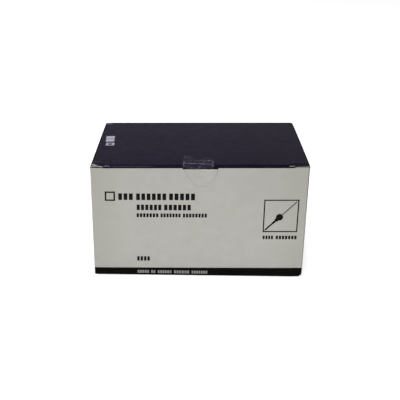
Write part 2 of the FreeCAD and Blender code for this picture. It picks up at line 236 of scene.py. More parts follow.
def tab_rounded(point):
    """Bends the thumb tab's perforation within the front panel."""
    if point.y > PANEL_BACK + SLACK or point.z > PANEL_EDGE + SLACK:
        return point
    depth = (TAB_TOP - point.z) / MM
    place = point.x / MM
    out = between(TAB_BULGE, depth) * between(TAB_BULGE_SHARE, place)
    up = between(TAB_RAISE, depth) * between(TAB_RAISE_SHARE, place)
    return point + Vector((out, 0, up)) * MM


def knocked(point):
    """Pushes in the board round the crushed corner, in small creases."""
    near = 1 - (point - KNOCK_CORNER).length / KNOCK_REACH
    if near <= 0:
        return point
    crease = KNOCK_CREASED * abs(bumps(point, KNOCK_CREASE, KNOCK_SEEDS[0]))
    dent = KNOCK_DENTED * bumps(point, 2 * KNOCK_CREASE, KNOCK_SEEDS[1])
    moved = point + KNOCK_DIRECTION * (KNOCK_DEPTH * near ** 2 * (KNOCK_EVEN + crease + dent))
    moved.z = max(moved.z, 0)
    return moved


def cut_plane(bm, place, normal, faces=None):
    """Cuts faces, or all of them, at a plane."""
    chosen = [face for face in bm.faces if faces is None or faces(face)]
    edges = {edge for face in chosen for edge in face.edges}
    verts = {vert for edge in edges for vert in edge.verts}
    pieces = [*verts, *edges, *chosen]
    bmesh.ops.bisect_plane(bm, geom=pieces, dist=CUT_REACH, plane_co=place, plane_no=normal)


def cut_mesh(bm, axis, places, faces=None):
    """Cuts faces, or all of them, at planes across an axis."""
    normal = Vector((0, 0, 0))
    normal[axis] = 1
    for place in places:
        cut_plane(bm, normal * place, normal, faces)


def band_top(x):
    """The height of the band's upper edge at a place along X."""
    return BAND_TOP + BAND_RISE * x / HALF_WIDTH


def near_closure(face):
    """Whether a face lies round a slit's end or a front corner of the lid."""
    x, y, z = face.calc_center_median()
    return abs(x) > SLIT_END - 2 * MM and y < -HALF_DEPTH + 2 * HANGING_RUN and z > PANEL_EDGE - MM


def near_knock(face):
    """Whether a face lies round the crushed corner."""
    return (face.calc_center_median() - KNOCK_CORNER).length < KNOCK_REACH


def refine(bm):
    """Joins the triangles of each flat face, then cuts all faces in a grid that can bend."""
    bmesh.ops.remove_doubles(bm, verts=bm.verts, dist=JOIN_REACH)
    bmesh.ops.dissolve_limit(bm, angle_limit=FLAT_ANGLE, verts=bm.verts, edges=bm.edges)
    width = HALF_WIDTH - FOLD_MARGIN
    depth = HALF_DEPTH - FOLD_MARGIN
    cut_mesh(bm, X, spaced(-width, width, GRID))
    cut_mesh(bm, Y, spaced(-depth, depth, GRID))
    cut_mesh(bm, Z, [FOLD_MARGIN, IN_BAND] + spaced(OVER_BAND, LID_INK_LINE, GRID))
    cut_plane(bm, Vector((0, 0, BAND_TOP)), Vector((-BAND_RISE / HALF_WIDTH, 0, 1)))
    for side in (-1, 1):
        cut_mesh(bm, X, [side * place for place in spaced(*CLOSURE_WIDTH)], near_closure)
    cut_mesh(bm, Y, [PANEL_BACK, *spaced(*CLOSURE_DEPTH)], near_closure)
    fine = KNOCK_REACH / KNOCK_CUTS
    cuts = [fine * (number + 0.5) for number in range(KNOCK_CUTS)]
    cut_mesh(bm, X, [HALF_WIDTH - cut for cut in cuts], near_knock)
    cut_mesh(bm, Y, [-HALF_DEPTH + cut for cut in cuts], near_knock)
    cut_mesh(bm, Z, cuts, near_knock)


def is_raw(face):
    """Whether a face is a cut edge or the bare inner side of the board."""
    x, y, z = face.calc_center_median()
    normal = face.normal
    sideways = abs(normal.x) > 0.9
    backward = normal.y > 0.9
    over = z > UNDER_LID
    under = z < BOARD
    if sideways and abs(abs(x) - FLAP_SIDE) < 4 * SLACK and (over or under):
        return True
    if under and backward and abs(y - (HALF_DEPTH - BOTTOM_STRIP)) < 2 * SLACK:
        return True
    if x > HALF_WIDTH - BOARD and y > HALF_DEPTH - SEAM_SETBACK - SLACK and backward:
        return True
    return is_raw_front(x, y, z, normal)


def is_raw_front(x, y, z, normal):
    """The bare board round the closure: the lid's front edge, the panel's top edge, the
    perforation, and the dust flap's edge with the gap under it."""
    sideways = abs(normal.x) > 0.9
    forward = normal.y < -0.9
    upward = normal.z > 0.7
    downward = normal.z < -0.5
    edge_on = abs(normal.y) < 0.5
    in_panel = y < PANEL_BACK + SLACK
    in_recess = y < RECESS_BACK
    if z > UNDER_LID:
        return in_recess and abs(x) > SLIT_END - 2 * SLACK and (forward or sideways or downward)
    if in_panel and upward and z > PANEL_EDGE - PANEL_STEP:
        return abs(x) < FLAP_SIDE
    if in_panel and abs(x) < TAB_REACH and edge_on and z > LID_INK_LINE - TAB_DEPTH:
        return True
    if in_recess and forward and not in_panel and z > PANEL_EDGE:
        return abs(x) > ARCH_START
    in_gap = PANEL_EDGE - SLACK < z < UNDER_LID - BOARD + SLACK
    behind = not in_recess and y < -HALF_DEPTH + GAP_DEPTH
    return in_gap and behind and -HALF_WIDTH + BOARD / 2 < x < -ARCH_START + SLACK


def is_lid_ink(face):
    """Whether a face carries the lid's dark print, which goes on down the tuck flap."""
    x, y, z = face.calc_center_median()
    if z > UNDER_LID + TOUCH or (z > LID_INK_LINE and y > PANEL_BACK):
        return True
    return abs(x) < ARCH_START + SLACK and PANEL_BACK < y < -HALF_DEPTH + TUCK_DEPTH


def is_flap_ink_and_shade(face):
    """Whether a face is on the dust flaps' folds, just beside the lid."""
    x, y, z = face.calc_center_median()
    return z > LID_INK_LINE and y > PANEL_BACK and abs(x) > FLAP_SIDE


# The places of the carton's materials in its list of them
PALE_SLOT, LID_SLOT, BAND_SLOT, RAW_SLOT, FLAP_SLOT = range(5)


def finish_number(face):
    """The place of a face's material among the carton's materials."""
    if is_raw(face):
        return RAW_SLOT
    if is_flap_ink_and_shade(face):
        return FLAP_SLOT
    if is_lid_ink(face):
        return LID_SLOT
    centre = face.calc_center_median()
    return BAND_SLOT if centre.z < band_top(centre.x) else PALE_SLOT


def make_carton():
    """The whole folded board, with its bowed panels and knocked corner."""
    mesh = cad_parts["carton"].data.copy()
    mesh.materials.clear()
    bm = bmesh.new()
    bm.from_mesh(mesh)
    refine(bm)
    bm.normal_update()
    for face in bm.faces:
        face.smooth = True
        face.material_index = finish_number(face)
    for edge in bm.edges:
        edge.smooth = len(edge.link_faces) == 2 and edge.calc_face_angle() < SHARP_ANGLE
    for vert in bm.verts:
        vert.co = knocked(settled(slit_shifted(hanging(tab_rounded(vert.co)))))
    bm.to_mesh(mesh)
    bm.free()
    carton = bpy.data.objects.new("printed_carton", mesh)
    bpy.context.scene.collection.objects.link(carton)
    for material in (pale_board(), lid_ink(), band_ink(), raw_board(), flap_ink_and_shade()):
        mesh.materials.append(material)
    weighting = carton.modifiers.new("panel_shading", "WEIGHTED_NORMAL")
    weighting.keep_sharp = True
    return carton


# Shape of the tape. The torn end is a table of places along Y at shares of the tape's
# width, and each crease gives where it lies and how high it stands, both at the left and
# at the right, and how wide it is, all in millimetres

TAPE_STEP = 0.5 * MM
TAPE_BEND = 2.5 * MM
BEND_STEPS = 8
TAPE_CLEARANCE = 0.02 * MM
TAPE_TEAR = ((0.0, -34.0), (0.22, -36.2), (0.52, -43.8), (0.7, -39.2), (1.0, -41.3))
TEAR_UNEVEN = 0.35 * MM
TEAR_SIZE = 1.6 * MM
TEAR_SEED = 7
TAPE_TEETH = 1.3 * MM
TAPE_TOOTH = 0.45 * MM
TOOTH_RUN = 2 * MM
CREASES = (
    ((-44.8, -45.3), (0.02, 0.19), 0.6),
    ((-50.5, -52.9), (0.2, 0.17), 0.7),
    ((-47.8, -48.6), (0.05, 0.06), 0.6),
)
CREASE_DRIFT = 0.4
CREASE_DRIFT_SIZE = 6 * MM
CREASE_DRIFT_SEED = 5
CREASE_STRENGTH = 0.75
CREASE_PATCHES = 0.6
CREASE_PATCH_SIZE = 4 * MM
CREASE_PATCH_SEED = 9
CREASE_FULL = 0.22


def tape_profile(back):
    """The tape's line from its torn end on the lid, round the bend and down the front:
    points across X, with the direction that faces outwards."""
    lid_end = -HALF_DEPTH + TAPE_BEND
    line = []
    for y in spaced(lid_end, back, TAPE_STEP)[:0:-1]:
        line.append((Vector((0, y, LID)), Vector((0, 0, 1))))
    centre = Vector((0, lid_end, LID - TAPE_BEND))
    for number in range(BEND_STEPS + 1):
        turn = math.pi / 2 * number / BEND_STEPS
        outward = Vector((0, -math.sin(turn), math.cos(turn)))
        line.append((centre + outward * TAPE_BEND, outward))
    for z in spaced(TAPE_END, LID - TAPE_BEND, TAPE_STEP)[-2::-1]:
        line.append((Vector((0, -HALF_DEPTH, z)), Vector((0, -1, 0))))
    return line


def tape_share(x):
    """A place along X as a share of the tape's width."""
    return (x - TAPE_LEFT) / (TAPE_RIGHT - TAPE_LEFT)


def torn_back(share):
    """How far back the torn end reaches at a share of the tape's width."""
    for (start, low), (stop, high) in zip(TAPE_TEAR, TAPE_TEAR[1:]):
        if share <= stop:
            along = (share - start) / (stop - start)
            eased = along * along * (3 - 2 * along)
            return (low + (high - low) * eased) * MM
    return TAPE_TEAR[-1][1] * MM


def crease_height(point):
    """How far the tape stands off the board in its creases, in millimetres."""
    share = tape_share(point.x)
    along = Vector((point.x, 0, 0))
    height = 0
    for number, (places, rises, wide) in enumerate(CREASES):
        drift = CREASE_DRIFT * bumps(along, CREASE_DRIFT_SIZE, CREASE_DRIFT_SEED + number)
        patch = bumps(along, CREASE_PATCH_SIZE, CREASE_PATCH_SEED + 2 * number)
        strength = CREASE_STRENGTH + CREASE_PATCHES * patch
        place, rise = (left + (right - left) * share for left, right in (places, rises))
        away = (point.y / MM - place - drift) / wide
        height += rise * max(strength, 0) * math.exp(-away * away)
    return height


def tape_strip(bm, raised, profile, x):
    """One line of the tape's points along its length, at a place along X."""
    flat = profile[0][0].y
    front = -HALF_DEPTH + TAPE_BEND
    uneven = TEAR_UNEVEN * bumps(Vector((x, 0, 0)), TEAR_SIZE, TEAR_SEED)
    back = torn_back(tape_share(x)) + uneven
    tooth = TAPE_TOOTH * abs(2 * ((x - TAPE_LEFT) / TAPE_TEETH % 1) - 1)
    strip = []
    for place, outward in profile:
        point = Vector((x, place.y, place.z))
        if outward.z == 1:
            point.y = front + (point.y - front) * (back - front) / (flat - front)
        if outward.y == -1 and point.z < TAPE_END + TOOTH_RUN:
            point.z += tooth * (1 - (point.z - TAPE_END) / TOOTH_RUN)
        height = crease_height(point)
        vert = bm.verts.new(settled(point) + outward * (TAPE_CLEARANCE + height * MM))
        vert[raised] = limited(height / CREASE_FULL)
        strip.append(vert)
    return strip


def make_tape():
    """The clear strip: torn at the back, toothed at its lower end, creased before the bend."""
    bm = bmesh.new()
    raised = bm.verts.layers.float.new("raised")
    profile = tape_profile(TAPE_TEAR[0][1] * MM)
    strips = [tape_strip(bm, raised, profile, x) for x in spaced(TAPE_LEFT, TAPE_RIGHT, TAPE_STEP)]
    for left, right in zip(strips, strips[1:]):
        for row in range(len(left) - 1):
            face = bm.faces.new((left[row], left[row + 1], right[row + 1], right[row]))
            face.smooth = True
    mesh = bpy.data.meshes.new("tape_film")
    bm.to_mesh(mesh)
    bm.free()
    tape = bpy.data.objects.new("tape_film", mesh)
    bpy.context.scene.collection.objects.link(tape)
    film = tape.modifiers.new("film", "SOLIDIFY")
    film.thickness = FILM
    film.offset = 1
    mesh.materials.append(clear_film())
    return tape


# Materials. Their places are in millimetres

FRONT_AT = -HALF_DEPTH / MM
LID_AT = LID / MM
EDGE_AT = PANEL_EDGE / MM
FOLD_FADE = 0.8


class Finish:
    """A material with one Principled shader, and short calls for the nodes behind it."""

    def __init__(self, name):
        self.material = bpy.data.materials.new(name)
        self.material.use_nodes = True
        self.tree = self.material.node_tree
        self.shader = self.tree.nodes["Principled BSDF"]

    def node(self, kind, **settings):
        """A new node of a kind, with some of its settings."""
        made = self.tree.nodes.new(kind)
        for name, value in settings.items():
            setattr(made, name, value)
        return made

    def put(self, socket, value):
        """Gives a socket a number, a colour or another node's output."""
        if isinstance(value, bpy.types.NodeSocket):
            self.tree.links.new(value, socket)
        else:
            socket.default_value = value

    def math(self, operation, *values):
        """The result of one sum on numbers or other nodes' outputs."""
        made = self.node("ShaderNodeMath", operation=operation)
        for socket, value in zip(made.inputs, values):
            self.put(socket, value)
        return made.outputs[0]

    def product(self, first, *others):
        """Masks and numbers, multiplied one after another."""
        result = first
        for other in others:
            result = self.math("MULTIPLY", result, other)
        return result

    def most(self, values):
        """The largest of several masks."""
        result = values[0]
        for value in values[1:]:
            result = self.math("MAXIMUM", result, value)
        return result

    def away(self, part, place):
        """How far a number is from a place, to either side."""
        return self.math("ABSOLUTE", self.math("SUBTRACT", part, place))

    def step(self, value, low, high):
        """0 below low and 1 above high, smooth between them. With low above high it falls."""
        made = self.node("ShaderNodeMapRange", interpolation_type="SMOOTHSTEP")
        for name, number in (("Value", value), ("From Min", low), ("From Max", high)):
            self.put(made.inputs[name], number)
        return made.outputs["Result"]

    def region(self, parts, spans):
        """1 in a region and 0 outside it. Each span is an axis, with the places at which
        the region hasn't begun and is whole."""
        return self.product(*(self.step(parts[axis], low, high) for axis, low, high in spans))

    def place(self):
        """The object's own coordinates in millimetres: the vector, and its three parts with
        the height as it is before the carton leans."""
        source = self.node("ShaderNodeTexCoord").outputs["Object"]
        scaled = self.node("ShaderNodeVectorMath", operation="SCALE")
        self.put(scaled.inputs[0], source)
        scaled.inputs["Scale"].default_value = 1 / MM
        parts = self.node("ShaderNodeSeparateXYZ")
        self.put(parts.inputs[0], scaled.outputs[0])
        x, y, z = parts.outputs
        stretch = self.math("MULTIPLY_ADD", x, LEAN / LID * MM / HALF_WIDTH, 1.0)
        return scaled.outputs[0], (x, y, self.math("DIVIDE", z, stretch))

    def grain(self, vector, size, detail, rough, stretch=None):
        """Noise from 0 to 1 over features of about a size in millimetres."""
        if stretch:
            mapping = self.node("ShaderNodeMapping")
            self.put(mapping.inputs["Vector"], vector)
            mapping.inputs["Scale"].default_value = stretch
            vector = mapping.outputs[0]
        made = self.node("ShaderNodeTexNoise")
        self.put(made.inputs["Vector"], vector)
        made.inputs["Scale"].default_value = 1 / size
        made.inputs["Detail"].default_value = detail
        made.inputs["Roughness"].default_value = rough
        return made.outputs["Fac"]

    def specks(self, vector, size, detail, rough, low, high):
        """Specks of about a size: where noise is above low, and whole where it is above high."""
        return self.step(self.grain(vector, size, detail, rough), low, high)

    def mix(self, share, first, second):
        """The first colour, turned into the second by a share."""
        made = self.node("ShaderNodeMix", data_type="RGBA")
        self.put(made.inputs[0], share)
        self.put(made.inputs[6], first)
        self.put(made.inputs[7], second)
        return made.outputs[2]

    def near_fold(self, parts, reach):
        """1 on the rounded folds of the carton, falling to 0 on its flat panels."""
        half = (HALF_WIDTH / MM, HALF_DEPTH / MM, LID_AT)
        closeness = []
        for part, size in zip(parts, half):
            away = self.math("ABSOLUTE", part)
            closeness.append(self.math("SUBTRACT", away, size - reach))
        pairs = [(X, Y), (Y, Z), (X, Z)]
        folds = [self.math("MINIMUM", closeness[a], closeness[b]) for a, b in pairs]
        return self.step(self.most(folds), 0.0, FOLD_FADE * reach)

    def bump(self, height, strength, distance):
        """Small relief on the surface, of a strength and a distance in metres."""
        made = self.node("ShaderNodeBump")
        made.inputs["Strength"].default_value = strength
        made.inputs["Distance"].default_value = distance
        self.put(made.inputs["Height"], height)
        self.put(self.shader.inputs["Normal"], made.outputs[0])

    def painted(self, colour):
        """The material, once its shader has its colour."""
        self.put(self.shader.inputs["Base Color"], colour)
        return self.material


PALE_INK = srgb(164, 163, 158)
PALE_INK_SHADE = srgb(159, 158, 152)
# Painted shade on the front panel, towards its ends and in its upper part
PALE_PAINTED_SHADE_END = srgb(155, 154, 147)
PALE_PAINTED_SHADE_UPPER = srgb(140, 140, 134)
DARK_INK = srgb(20, 12, 35)
DARK_INK_SHADE = srgb(14, 8, 24)
# Near black on the dust flaps' folds: their dark print, with painted shade from the lid's edge over them
FLAP_INK_AND_SHADE = srgb(17, 15, 19)
BAND_INK = srgb(13, 12, 9)
BAND_INK_SHADE = srgb(9, 8, 7)
PRINT_BLACK = srgb(14, 13, 16)
BAND_PRINT = srgb(128, 128, 125)
LID_PRINT = srgb(158, 155, 172)
BOARD_CORE = srgb(186, 181, 174)
BOARD_CORE_SHADE = srgb(146, 142, 136)
# A darker, lilac-grey core for the raw edge at the arches
BOARD_CORE_DARKER = srgb(104, 98, 110)
GAP_SHADE = srgb(44, 39, 30)
EDGE_SHADE = srgb(16, 13, 14)
# The perforation's walls, painted pale as painted light against the shade in the slots
SLOT_WALL_PAINTED_LIGHT = srgb(216, 213, 206)
WORN_INK = srgb(150, 147, 150)
RUBBED_INK = srgb(76, 72, 78)
RUBBED_BOARD = srgb(196, 194, 188)
# Painted shade along the front panel's right fold
PALE_FOLD_SHADE = srgb(96, 93, 96)
CLEAR_FILM = srgb(223, 221, 226)
WHITE = (1, 1, 1, 1)

# How much each print shines
DARK_SHEEN = 0.016
BAND_SHEEN = 0.01
PALE_SHEEN = 0.04
NO_SHEEN = 0.0

# Noise: its size in millimetres, its detail and its roughness
FINE_GRAIN = (0.45, 2, 0.6)
SHEEN_GRAIN = (5, 3, 0.6)
RIPPLE = (2.6, 2, 0.5)
CORNER_FIBRES = (1.6, 4, 0.7)
CORE_FIBRES = (0.5, 4, 0.7)
FILM_RIPPLE = (1.5, 3, 0.6)

# Specks: the same three, and the values of the noise between which they begin
MOTTLE = (9, 3, 0.6, 0.2, 0.8)
PALE_SPECKS = (1.2, 4, 0.7, 0.5, 0.62)
LID_SPECKS = (0.9, 4, 0.75, 0.52, 0.66)
LID_PATCHES = (16, 2, 0.5, 0.4, 0.6)
BAND_SPECKS = (0.8, 4, 0.75, 0.56, 0.68)
FILM_HAZE = (4, 4, 0.65, 0.45, 0.75)
BEND_PATCHES = (2.2, 3, 0.6, 0.42, 0.62)

# What all printed board shares: its grain, its roughness and its relief
GRAIN_RANGE = (0.55, 0.8)
GRAIN_SHARE = 0.3
ROUGH_LOW = 0.38
ROUGH_RANGE = 0.16
RELIEF_RIPPLE = 0.6
RELIEF_GRAIN = 0.4
PRINT_BUMP = (0.5, 0.02 * MM)


def board_surface(finish, vector, base, shade, sheen):
    """What all printed board shares: slightly uneven ink, fine grain and an uneven sheen."""
    grain = finish.grain(vector, *FINE_GRAIN)
    colour = finish.mix(finish.specks(vector, *MOTTLE), base, shade)
    colour = finish.mix(finish.product(finish.step(grain, *GRAIN_RANGE), GRAIN_SHARE), colour, shade)
    uneven = finish.grain(vector, *SHEEN_GRAIN)
    rough = finish.math("MULTIPLY_ADD", uneven, ROUGH_RANGE, ROUGH_LOW)
    finish.put(finish.shader.inputs["Roughness"], rough)
    finish.shader.inputs["Specular IOR Level"].default_value = sheen
    ripple = finish.grain(vector, *RIPPLE)
    height = finish.math("MULTIPLY_ADD", ripple, RELIEF_RIPPLE, finish.product(grain, RELIEF_GRAIN))
    finish.bump(height, *PRINT_BUMP)
    return colour


# Shapes of print. Half the width of the soft edge that each has
PRINT_SOFT = 0.06
BLOCK_SOFT = 0.02
PICTURE_SOFT = 0.1

# A block's width as a share of the pitch, and the pitch as a share of the height
BLOCK_SHARE = 0.72
PITCH_SHARE = 0.72

# Rows of blocks in place of lines of print, as left, right, low and high
FRONT_ROWS = (
    (-62.0, -51.0, 65.2, 70.6),
    (-48.4, -25.6, 65.2, 70.6),
    (-23.4, -3.8, 65.2, 70.6),
    (-48.1, -29.3, 56.8, 61.4),
    (-27.2, -6.8, 56.8, 61.4),
    (-48.2, -31.6, 50.9, 54.1),
    (-29.9, -14.6, 50.9, 54.1),
    (-12.8, 5.6, 50.9, 54.1),
    (-48.3, -38.4, 13.0, 16.9),
    (49.4, 57.4, 32.8, 35.8),
    (59.6, 75.8, 32.8, 35.8),
)
BAND_ROWS = (
    (-48.1, -39.2, 1.9, 4.5),
    (-37.4, -34.2, 1.9, 4.5),
    (-32.2, -21.4, 1.9, 4.5),
    (-19.4, -7.4, 1.9, 4.5),
    (-5.4, 7.0, 1.9, 4.5),
)
LID_BARS = (
    (-77.5, -70.6, 9.3, 15.9),
    (-77.1, -70.2, 1.7, 8.2),
)

# Outlined squares, as their centre, half their size and the width of their line
FRONT_MARK = ((-68.3, 68.2), 3.3, 1.2)
LID_MARK = ((-72.6, -4.9), 2.5, 1.6)
PICTURE = ((62.5, 52.3), 13.0, 0.95)

# The needle in the picture: where each part starts and stops along it, and half its width
NEEDLE_REACH = 16.6
HUB_PLACE = -1.4
HUB_RADIUS = 2.75
NEEDLE = (
    (HUB_PLACE, NEEDLE_REACH, 0.36),
    (-NEEDLE_REACH, HUB_PLACE, 0.62),
    (-8.6, HUB_PLACE, 0.85),
    (-5.4, HUB_PLACE, 1.45),
)


def inside(finish, away, half, soft):
    """1 where a distance is within half a width, with a soft edge."""
    return finish.step(away, half + soft, half - soft)


def bar(finish, across, upward, left, right, low, high):
    """A filled rectangle of print between four places."""
    masks = []
    for part, first, last in ((across, left, right), (upward, low, high)):
        away = finish.away(part, (first + last) / 2)
        masks.append(inside(finish, away, (last - first) / 2, PRINT_SOFT))
    return finish.product(*masks)


def blocks(finish, across, upward, left, right, low, high):
    """A line of print as a row of plain blocks, each a little narrower than it is high."""
    count = round((right - left) / (PITCH_SHARE * (high - low)))
    pitch = (right - left) / (count - 1 + BLOCK_SHARE)
    along = finish.math("DIVIDE", finish.math("SUBTRACT", across, left), pitch)
    in_block = inside(finish, finish.math("FRACT", along), BLOCK_SHARE, BLOCK_SOFT)
    return finish.product(in_block, bar(finish, across, upward, left, right, low, high))


def outlined(finish, across, upward, centre, half, line):
    """A square outline round a centre."""
    reach = finish.math("MAXIMUM", finish.away(across, centre[0]), finish.away(upward, centre[1]))
    return inside(finish, finish.away(reach, half), line / 2, PRINT_SOFT)


def needle_picture(finish, across, upward):
    """The plain picture in the square: a needle from corner to corner, with a round hub."""
    centre = PICTURE[0]
    right = finish.math("SUBTRACT", across, centre[0])
    up = finish.math("SUBTRACT", upward, centre[1])
    diagonal = math.sqrt(0.5)
    along = finish.product(finish.math("ADD", right, up), diagonal)
    aside = finish.math("ABSOLUTE", finish.product(finish.math("SUBTRACT", right, up), diagonal))
    shapes = [outlined(finish, across, upward, *PICTURE)]
    for start, stop, wide in NEEDLE:
        after = finish.step(along, start - PICTURE_SOFT, start + PICTURE_SOFT)
        before = finish.step(along, stop + PICTURE_SOFT, stop - PICTURE_SOFT)
        shapes.append(finish.product(after, before, inside(finish, aside, wide, PICTURE_SOFT)))
    off = finish.math("SUBTRACT", along, HUB_PLACE)
    squares = finish.math("ADD", finish.product(off, off), finish.product(aside, aside))
    shapes.append(inside(finish, finish.math("SQRT", squares), HUB_RADIUS, PICTURE_SOFT))
    return finish.most(shapes)


# Regions of the pale board, with the shares by which their colours come in
ON_FRONT = ((Y, FRONT_AT + 1.2, FRONT_AT + 1.0),)
# Painted shade: the front panel darkens towards its ends and in its upper part, more at the upper right
PANEL_ENDS = (50.0, 84.0)
PANEL_UPPER = ((Z, 30.0, 92.0),)
UPPER_RIGHT = ((X, 20.0, 50.0),)
UPPER_SHARE = 0.19
UPPER_RIGHT_SHARE = 0.18
# Painted shade along the front panel's right fold, stronger higher up, and along its top edge under the
# lid
RIGHT_FOLD = ((X, 81.0, 81.6),)
FOLD_UPPER = ((Z, 48.0, 68.0),)
FOLD_SHARE = 0.5
FOLD_UPPER_SHARE = 0.4
TOP_EDGE = ((Z, EDGE_AT - 0.2, EDGE_AT - 0.08),)
TOP_EDGE_MIDDLE = ((X, 69.7, 68.7),)
TOP_EDGE_RIGHT = ((X, 70.5, 71.5),)
TOP_EDGE_RIGHT_SHARE = 0.3
TOP_EDGE_START = ((X, -73.5, -72.0),)
PALE_WEAR_REACH = 1.3
PALE_WEAR_SHARE = 0.35


def front_shade(finish, colour, parts, on_front):
    """Painted shade: the front panel's ends and its upper part a little darker, the upper part more so
    at the right.
    """
    ends = finish.step(finish.math("ABSOLUTE", parts[X]), *PANEL_ENDS)
    colour = finish.mix(finish.product(ends, on_front), colour, PALE_PAINTED_SHADE_END)
    upper = finish.product(finish.region(parts, PANEL_UPPER), on_front)
    right = finish.region(parts, UPPER_RIGHT)
    share = finish.math("MULTIPLY_ADD", right, UPPER_RIGHT_SHARE, UPPER_SHARE)
    return finish.mix(finish.product(upper, share), colour, PALE_PAINTED_SHADE_UPPER)


def front_edges(finish, colour, parts, on_front):
    """Painted shade on the front panel: darker along its right fold and along its top edge."""
    fold = finish.product(finish.region(parts, RIGHT_FOLD), on_front)
    upper = finish.region(parts, FOLD_UPPER)
    share = finish.math("MULTIPLY_ADD", upper, FOLD_UPPER_SHARE, FOLD_SHARE)
    colour = finish.mix(finish.product(fold, share), colour, PALE_FOLD_SHADE)
    top = finish.product(finish.region(parts, TOP_EDGE), on_front)
    right = finish.product(finish.region(parts, TOP_EDGE_RIGHT), TOP_EDGE_RIGHT_SHARE)
    share = finish.most([finish.region(parts, TOP_EDGE_MIDDLE), right])
    share = finish.product(share, finish.region(parts, TOP_EDGE_START))
    return finish.mix(finish.product(top, share), colour, EDGE_SHADE)


def pale_board():
    """The pale print of the panels, with the rows of blocks and the picture on the front."""
    finish = Finish("pale_board")
    vector, parts = finish.place()
    x, _, z = parts
    colour = board_surface(finish, vector, PALE_INK, PALE_INK_SHADE, PALE_SHEEN)
    on_front = finish.region(parts, ON_FRONT)
    colour = front_shade(finish, colour, parts, on_front)
    shapes = [blocks(finish, x, z, *edges) for edges in FRONT_ROWS]
    shapes.append(outlined(finish, x, z, *FRONT_MARK))
    shapes.append(needle_picture(finish, x, z))
    colour = finish.mix(finish.product(finish.most(shapes), on_front), colour, PRINT_BLACK)
    colour = front_edges(finish, colour, parts, on_front)
    fold = finish.near_fold(parts, PALE_WEAR_REACH)
    worn = finish.product(fold, finish.specks(vector, *PALE_SPECKS), PALE_WEAR_SHARE)
    return finish.painted(finish.mix(worn, colour, RUBBED_BOARD))


# Regions of the lid's print, with the shares by which their colours come in
# Painted shade: the lid darker towards its right end
LID_RIGHT_SHADE_REGION = ((X, 0.0, 80.0),)
LID_RIGHT_SHADE_SHARE = 0.8
ON_LID = ((Z, LID_AT - 0.5, LID_AT - 0.3),)
LID_WEAR_REACH = 1.5
LID_WEAR_SHARE = 0.35
RIM_AT = LID_AT - 1.0
RIM_FADE = (0.45, 0.15)
RIM_LEFT = ((X, -68.0, -66.0), (X, -30.0, -44.0))
RIM_FRONT = ((Y, FRONT_AT + 2.2, FRONT_AT + 1.6),)
RIM_FIBRES = (0.3, 0.5)
RIM_SHARE = 0.5
FRONT_CORNER = ((X, -76.0, -80.0), (Y, FRONT_AT + 2.6, FRONT_AT + 0.8))
BACK_CORNER = ((X, -75.5, -79.0), (Y, -FRONT_AT - 8.0, -FRONT_AT - 3.0))
BACK_CORNER_SHARE = 0.5
SCUFF_FIBRES = (0.36, 0.5)
SCUFF_SHARE = 0.9


def lid_wear(finish, colour, vector, parts):
    """The lid's folds rubbed pale in specks, its front rim rubbed at the left, and its two
    left corners scuffed."""
    patches = finish.product(finish.specks(vector, *LID_SPECKS), finish.specks(vector, *LID_PATCHES))
    worn = finish.product(finish.near_fold(parts, LID_WEAR_REACH), patches, LID_WEAR_SHARE)
    colour = finish.mix(worn, colour, WORN_INK)

    fibres = finish.grain(vector, *CORNER_FIBRES)
    rim = finish.product(
        finish.step(finish.away(parts[Z], RIM_AT), *RIM_FADE),
        finish.region(parts, RIM_LEFT),
        finish.region(parts, RIM_FRONT),
        finish.step(fibres, *RIM_FIBRES),
        RIM_SHARE,
    )
    colour = finish.mix(rim, colour, RUBBED_INK)

    back = finish.product(finish.region(parts, BACK_CORNER), BACK_CORNER_SHARE)
    corners = finish.most([finish.region(parts, FRONT_CORNER), back])
    scuff = finish.product(corners, finish.step(fibres, *SCUFF_FIBRES), SCUFF_SHARE)
    return finish.mix(scuff, colour, WORN_INK)


def lid_ink():
    """The dark print of the lid, with the plain shapes near its left edge, and painted shade darkening
    it towards the right.
    """
    finish = Finish("lid_ink")
    vector, parts = finish.place()
    x, y, _ = parts
    colour = board_surface(finish, vector, DARK_INK, DARK_INK_SHADE, DARK_SHEEN)
    # Painted shade towards the lid's right end
    right = finish.product(finish.region(parts, LID_RIGHT_SHADE_REGION), LID_RIGHT_SHADE_SHARE)
    colour = finish.mix(right, colour, DARK_INK_SHADE)
    shapes = [bar(finish, x, y, *edges) for edges in LID_BARS]
    shapes.append(outlined(finish, x, y, *LID_MARK))
    marks = finish.product(finish.most(shapes), finish.region(parts, ON_LID))
    colour = finish.mix(marks, colour, LID_PRINT)
    return finish.painted(lid_wear(finish, colour, vector, parts))


def flap_ink_and_shade():
    """The dust flaps' folds: their dark print, painted near black as shade under the lid's edge, with no
    sheen.
    """
    finish = Finish("flap_ink_and_shade")
    vector, _ = finish.place()
    return finish.painted(board_surface(finish, vector, FLAP_INK_AND_SHADE, BAND_INK_SHADE, NO_SHEEN))


BAND_WEAR_REACH = 1.2
BAND_WEAR_SHARE = 0.4


def band_ink():
    """The black band round the foot of the panels, with rows of blocks on the front."""
    finish = Finish("band_ink")
    vector, parts = finish.place()
    x, _, z = parts
    colour = board_surface(finish, vector, BAND_INK, BAND_INK_SHADE, BAND_SHEEN)
    shapes = [blocks(finish, x, z, *edges) for edges in BAND_ROWS]
    rows = finish.product(finish.most(shapes), finish.region(parts, ON_FRONT))
    colour = finish.mix(rows, colour, BAND_PRINT)
    fold = finish.near_fold(parts, BAND_WEAR_REACH)
    worn = finish.product(fold, finish.specks(vector, *BAND_SPECKS), BAND_WEAR_SHARE)
    return finish.painted(finish.mix(worn, colour, WORN_INK))


